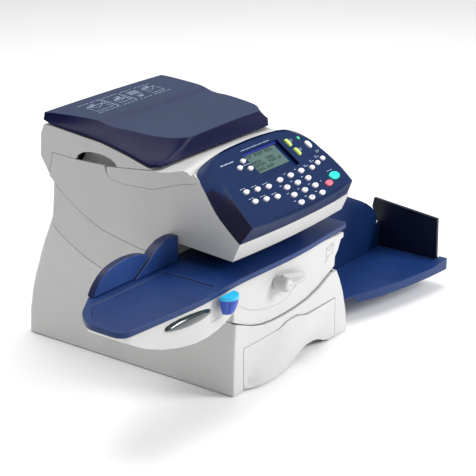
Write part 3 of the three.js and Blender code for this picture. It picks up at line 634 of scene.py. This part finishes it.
def water_window():
    """Bulged clear window with pointed ends, and the rim around it."""
    def ring(scale, y):
        points = []
        for i in range(48):
            turn = 2 * math.pi * i / 48
            reach = WATER["a"] * scale * math.cos(turn)
            rise = WATER["b"] * scale * math.sin(turn) * abs(math.sin(turn)) ** 0.35
            points.append(at(WATER["x"] + reach, y, WATER["z"] - 0.04 * reach + rise))
        return points

    face = WATER["face"]
    levels = [(1.0, 1.2), (1.0, face), (0.97, face - 1.4), (0.85, face - 3), (0.6, face - 4.2),
              (0.3, face - 4.8), (0.08, face - 5)]
    mesh = skin("water_lens", [ring(scale, y) for scale, y in levels])
    smooth_by_angle(mesh, 70)
    piece("water_lens", mesh, "water_window", stands_for=["water_window"])


# ------------------------------------------------------------------ printed sign on the front cover
def front_sign():
    """A generic outline of a letter beside the lever."""
    face = 3.5

    def stroke(xa, za, xb, zb, width=0.5):
        length = math.hypot(xb - xa, zb - za)
        dx, dz = (za - zb) / length * width / 2, (xb - xa) / length * width / 2
        corners = [(xa - dx, za - dz), (xb - dx, zb - dz), (xb + dx, zb + dz), (xa + dx, za + dz)]
        return ([at(x, face - 0.02, z) for x, z in corners], [at(x, face - 0.14, z) for x, z in corners])

    x, z, width, height = 208, 117, 16, 13
    lean = 0.25
    corners = [(x, z), (x + width, z + width * lean), (x + width, z + height + width * lean), (x, z + height)]
    marks = [stroke(*a, *b) for a, b in zip(corners, corners[1:] + corners[:1])]
    middle = (x + width / 2, z + height / 2 + width * lean / 2)
    marks += [stroke(*corners[3], *middle), stroke(*middle, *corners[2])]
    for i in range(4):
        marks.append(stroke(x - 4 + 2 * i, z - 5 + 0.6 * i, x - 3 + 2 * i, z - 3 + 0.6 * i))
    piece("front_sign", blocks("front_sign", marks), "front_cover", INK_DARK)


# ------------------------------------------------------------------ panel moulding
FACE = [(15, 0), (50, -4), (90, -6.5), (130, -7), (170, -6), (205, -3), (234, 2), (237, 25), (236, 50),
        (231, 70), (222, 87), (207, 101), (190, 107), (150, 110), (110, 110), (75, 108), (62, 102), (53, 94),
        (43, 84), (36, 76), (24, 39)]
SKIRT = [(8, -6, 198), (50, -9, 198), (90, -11, 198), (130, -11.5, 198), (170, -11, 198), (205, -9, 198),
         (241, -5, 198), (243, 12, 213), (243, 30, 230), (243, 43, 249), (240, 53, 258), (227, 64, 267.5),
         (205, 71, 276.5), (150, 74, 280.5), (110, 74, 280.5), (70, 72, 279.5), (45, 69, 277.5),
         (20, 64, 273.5), (9.5, 57, 268), (8, 47, 256), (8, 24, 224)]
FACE_CORNERS = (0, 6)
DISPLAY_ROOM = (101, 176, 53, 97)


def flowing(points, corners, per=5):
    """A closed line of points made smooth between its sharp corners."""
    count = len(points)
    stops = [*corners, corners[0] + count]
    result = []
    for start, end in zip(stops, stops[1:]):
        run = [points[k % count] for k in range(start, end + 1)]
        for i in range(len(run) - 1):
            before = run[i - 1] if i else run[0]
            after = run[i + 2] if i + 2 < len(run) else run[-1]
            for step in range(per):
                t = step / per
                result.append(0.5 * (2 * run[i] + (run[i + 1] - before) * t
                                     + (2 * before - 5 * run[i] + 4 * run[i + 1] - after) * t * t
                                     + (3 * run[i] - before - 3 * run[i + 1] + after) * t ** 3))
    return result


def panel_cutter():
    """One object of all openings in the panel: key holes, the display's window and the lamp's hole."""
    work = bmesh.new()
    outlines = []
    for node, x, s, a, b in key_table():
        outlines.append((key_ring(x, s, a + 0.45, b + 0.45, 1, 0, "quick" in node, 28), -9))
    outlines.append((key_ring(*LAMP, 2.8, 2.8, 1, 0, False, 20), -9))
    x0, x1, s0, s1 = DISPLAY_ROOM
    outlines.append(([on_panel(x, s, 0) for x, s in ((x0, s0), (x1, s0), (x1, s1), (x0, s1))], -12))
    for ring, depth in outlines:
        low = [work.verts.new(p + OUTWARD * depth * MM) for p in ring]
        high = [work.verts.new(p + OUTWARD * 4 * MM) for p in ring]
        work.faces.new(low)
        work.faces.new(list(reversed(high)))
        for i in range(len(ring)):
            j = (i + 1) % len(ring)
            work.faces.new((low[i], high[i], high[j], low[j]))
    bmesh.ops.recalc_face_normals(work, faces=work.faces)
    mesh = bpy.data.meshes.new("openings")
    work.to_mesh(mesh)
    work.free()
    return bpy.data.objects.new("openings", mesh)


def panel_moulding():
    """The panel's blue moulding: softly bellied sides, a rounded rim and a flat face with its openings."""
    face = flowing([on_panel(x, s, 0) for x, s in FACE], FACE_CORNERS)
    skirt = flowing([at(*p) for p in SKIRT], FACE_CORNERS)
    middle = on_panel(128, 52, 0)
    rim = 1.8 * MM
    rings = []
    for share in (0, 0.2, 0.4, 0.6, 0.8):
        ring = []
        for f, k in zip(face, skirt):
            high_up = min(1, max(0, (f.z - PANEL_FOOT.z) / (60 * MM)))
            belly = (0.4 + 2.4 * high_up) * MM * math.sin(math.pi * share)
            ring.append(k.lerp(f, share) + OUTWARD * belly)
        rings.append(ring)
    for t in (0, 0.25, 0.5, 0.75, 1):
        ring = []
        for f, k in zip(face, skirt):
            down = f + (k - f).normalized() * rim
            inner = f + (middle - f).normalized() * rim
            ring.append(down * (1 - t) ** 2 + f * 2 * t * (1 - t) + inner * t * t)
        rings.append(ring)
    mesh = skin("panel_moulding", rings)
    thing = piece("panel_moulding", mesh, "panel_bezel", stands_for=["panel_bezel"])
    cutter = panel_cutter()
    bpy.context.scene.collection.objects.link(cutter)
    opening = thing.modifiers.new("openings", "BOOLEAN")
    opening.object = cutter
    opening.solver = "EXACT"
    depsgraph = bpy.context.evaluated_depsgraph_get()
    finished = bpy.data.meshes.new_from_object(thing.evaluated_get(depsgraph))
    thing.modifiers.clear()
    thing.data = finished
    bpy.data.objects.remove(cutter)
    # Painted shade: the moulding's left-facing sides take the darker navy.
    finished.materials.append(PANEL_SIDE_PAINTED_SHADE)
    for polygon in finished.polygons:
        if polygon.normal.x < -0.45 and polygon.area > 2e-6:
            polygon.material_index = len(finished.materials) - 1
    smooth_by_angle(finished, 32)
    normals = thing.modifiers.new("normals", "WEIGHTED_NORMAL")
    normals.keep_sharp = True


# ------------------------------------------------------------------ jam lever
LEVER_AXIS = (97, 120)
LEVER_REACH = 54
LEVER_BACK = -5
HUB_PROFILE = [(26, 5), (3, 5), (3, 9.6), (-9, 9.4), (-13, 9), (-15.4, 8.2), (-16.8, 6.6), (-17.4, 4.2),
               (-17.6, 1.5)]


def lever():
    """Turned hub with a domed end, and a paddle with a ridge that runs out at its tip."""
    x0, z0 = LEVER_AXIS
    sides = 40
    rings = [[at(x0 + r * math.cos(2 * math.pi * i / sides), y, z0 + r * math.sin(2 * math.pi * i / sides))
              for i in range(sides)] for y, r in HUB_PROFILE]
    hub = skin("lever_hub", rings)
    smooth_by_angle(hub, 35)
    piece("lever_hub", hub, "jam_lever", stands_for=["jam_lever"])
    rings = []
    for u in (*steps(0, 0.88, 16), 0.93, 0.97, 0.995):
        height = 11.5 * (1 - 0.45 * u) * math.sqrt(max(0, 1 - max(0, (u - 0.8) / 0.2) ** 2)) + 0.3
        ridge = 10 * (1 - u ** 1.6)
        web = 5 * (1 - 0.4 * u)
        ring = []
        for v in steps(-1, 1, 24):
            y = LEVER_BACK - 0.7 * web * (1 - abs(v) ** 5) - ridge * math.exp(-(v / 0.42) ** 2)
            ring.append(at(x0 + LEVER_REACH * u, y, z0 + 1 - 7 * u + height * v))
        ring += [at(x0 + LEVER_REACH * u, LEVER_BACK, z0 + 1 - 7 * u + height * v) for v in (0.97, 0, -0.97)]
        rings.append(ring)
    paddle = skin("lever_paddle", rings)
    smooth_by_angle(paddle, 40)
    piece("lever_paddle", paddle, "jam_lever")


def lid_seam():
    """The fine shut line across the lid, in front of the weighing platform."""
    marks = []
    xs = steps(14, 166, 30)

    def edge(x, width):
        y = 107 + 9.5 * (x / 166) ** 0.8 + width
        z = 272.4 - 0.4 * (y - 100) if y < 113 else 267.2 - 0.277 * (y - 113)
        return y, z

    for xa, xb in zip(xs, xs[1:]):
        corners = [(xa, *edge(xa, 0)), (xb, *edge(xb, 0)), (xb, *edge(xb, 0.7)), (xa, *edge(xa, 0.7))]
        marks.append(([at(x, y, z - 0.05) for x, y, z in corners], [at(x, y, z + 0.1) for x, y, z in corners]))
    piece("lid_seam", blocks("lid_seam", marks), "lid_cover", SEAM_SHADOW)


def grip_pocket():
    """Scooped wall behind the finger notch at the left of the lid."""
    profile = [(9, 250), (12, 250.8), (17, 252), (22, 254.5), (25, 259), (26, 265), (26.2, 273)]
    rings = [[at(x, y, z) for x, z in profile] for y in steps(181, 247, 14)]
    rings = [ring + [p + Vector((1.2 * MM, 0, -0.6 * MM)) for p in reversed(ring)] for ring in rings]
    mesh = skin("grip_pocket", rings)
    smooth_by_angle(mesh, 50)
    piece("grip_pocket", mesh, "scale_housing")


def lowered_corner(thing, drop=8.5):
    """Takes down everything right of and above one line: the front cover's top right corner.

    On the mid housing this is the whole upper right edge, and leaves a gap at its shut line.
    """
    corner = at(240, 0, 141)
    for vertex in thing.data.vertices:
        if vertex.co.x > corner.x and vertex.co.z > corner.z:
            vertex.co.z -= drop * MM


def fuller_swell(thing, flat=-0.2, share=1.35):
    """Deepens the swelling of the drawer's front, ahead of its flat plane."""
    plane = at(0, flat, 0).y
    for vertex in thing.data.vertices:
        if vertex.co.y < plane:
            vertex.co.y = plane + (vertex.co.y - plane) * share


def second_finish(thing, material, test):
    """Gives the faces of a piece that pass a test another material."""
    mesh = thing.data
    mesh.materials.append(material)
    for polygon in mesh.polygons:
        if test(polygon):
            polygon.material_index = len(mesh.materials) - 1


camera()
studio()

for node, thing in NODES.items():
    thing.data.materials.clear()
    thing.data.materials.append(MATERIALS[SLOT_OF[node]])
for node in ("base_shell", "upper_housing", "lid_cover", "scale_housing", "deck_fascia", "feed_deck",
             "stacker_tray"):
    refined(node)
fuller_swell(refined("supply_drawer"))
lowered_corner(refined("front_cover"))
lowered_corner(refined("mid_housing"))
# Painted light: the guide's front-facing faces take the lighter blue.
second_finish(refined("deck_guide", 1.0), GUIDE_FACE_PAINTED_LIGHT, lambda face: face.normal.y < -0.9)
# Painted shade: the stacker's right end wall takes the near-black navy.
second_finish(refined("stacker_walls", 1.0), WALL_PAINTED_SHADE, lambda face: face.center.x > at(464, 0, 0).x)
panel_moulding()
lever()
lid_seam()
grip_pocket()
key_caps()
key_numerals()
panel_prints()
raised_dots()
display()
status_light()
platform()
platform_print()
knob()
water_window()
front_sign()
